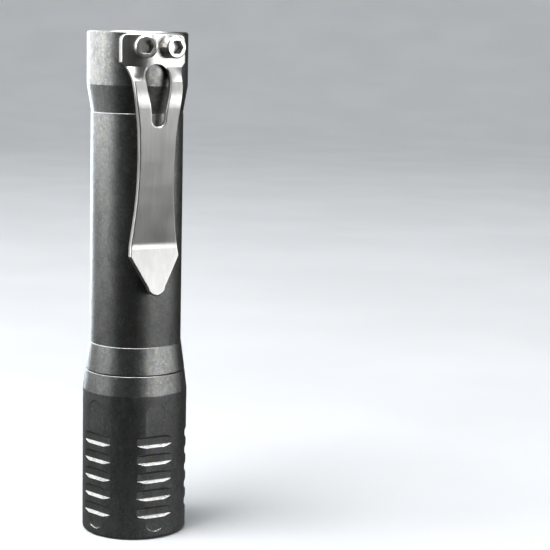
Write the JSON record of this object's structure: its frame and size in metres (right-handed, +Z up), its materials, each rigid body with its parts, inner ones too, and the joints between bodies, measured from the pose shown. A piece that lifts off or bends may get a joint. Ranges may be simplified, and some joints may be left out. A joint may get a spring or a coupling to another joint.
{
  "type": "pocket flashlight",
  "caption": "Slim cylindrical metal flashlight with a grooved screw-on head, a pocket clip on the tail collar and a recessed tail push button.",
  "frame": {"origin": "centre of the bezel's front face, where the light's axis meets the surface it stands on", "axes": "+Z up the light's axis from the bezel to the tail, -Y towards the pocket clip, +X to the right of the clip seen from outside"},
  "size_m": [0.0164, 0.0193, 0.079],
  "materials": {
    "head_metal": "stonewashed titanium",
    "tube_metal": "stonewashed titanium",
    "clip_metal": "titanium brushed lengthwise",
    "screw_steel": "polished stainless steel",
    "ring_metal": "turned titanium",
    "button_metal": "turned titanium",
    "spring_steel": "plated spring steel",
    "cell_steel": "nickel-plated can, standing for a filled cell",
    "cell_sleeve": "heat-shrink film",
    "brass": "machined brass",
    "copper": "copper board with a white mask",
    "board_green": "glass-epoxy board",
    "black_plastic": "moulded",
    "white_plastic": "moulded",
    "wire_insulation": "silicone insulation",
    "seal_rubber": "moulded",
    "led_phosphor": "yellow phosphor on a ceramic base",
    "reflector_mirror": "vapour-coated aluminium",
    "lens_glass": "clear, coated"
  },
  "bodies": {
    "head": {"head_shell": "head_metal", "lens_o_ring": "seal_rubber", "front_lens": "lens_glass", "reflector": "reflector_mirror", "led_centring_ring": "white_plastic", "led_emitter": "led_phosphor", "led_dome": "lens_glass", "led_board": "copper", "heat_sink_pill": "brass", "led_leads": "wire_insulation", "driver_board": "board_green", "driver_components": "black_plastic", "driver_contact": "brass"},
    "cell": {"cell_can": "cell_steel", "cell_wrap": "cell_sleeve", "cell_positive_cap": "cell_steel", "cell_insulator_ring": "white_plastic"},
    "body": {"body_tube": "tube_metal", "neck_o_ring": "seal_rubber", "pocket_clip": "clip_metal", "clip_screws": "screw_steel", "tail_spring": "spring_steel", "tail_contact_board": "board_green", "switch_base": "black_plastic", "switch_terminals": "brass", "switch_housing": "black_plastic", "switch_spring": "spring_steel", "tail_boot": "seal_rubber", "tail_retaining_ring": "ring_metal"},
    "button": {"switch_plunger": "white_plastic", "switch_contact_disc": "brass", "tail_button": "button_metal"}
  },
  "joints": [
    {"name": "body_twist", "type": "hinge", "parent": "head", "child": "cell", "pos_m": [0, 0, 0], "axis": [0, 0, 1], "range_deg": [0, 2160]},
    {"name": "body_lift", "type": "slide", "parent": "cell", "child": "body", "axis": [0, 0, 1], "range_m": [0, 0.006], "deforming": ["tail_spring"]},
    {"name": "button_press", "type": "slide", "parent": "body", "child": "button", "axis": [0, 0, -1], "range_m": [0, 0.0012], "stiffness_N_per_m": 900, "springref_m": -0.0015, "deforming": ["switch_spring", "tail_boot"]}
  ],
  "couplings": [
    {"joint": "body_lift", "follows": "body_twist", "m_per_rad": 0.00015915}
  ]
}
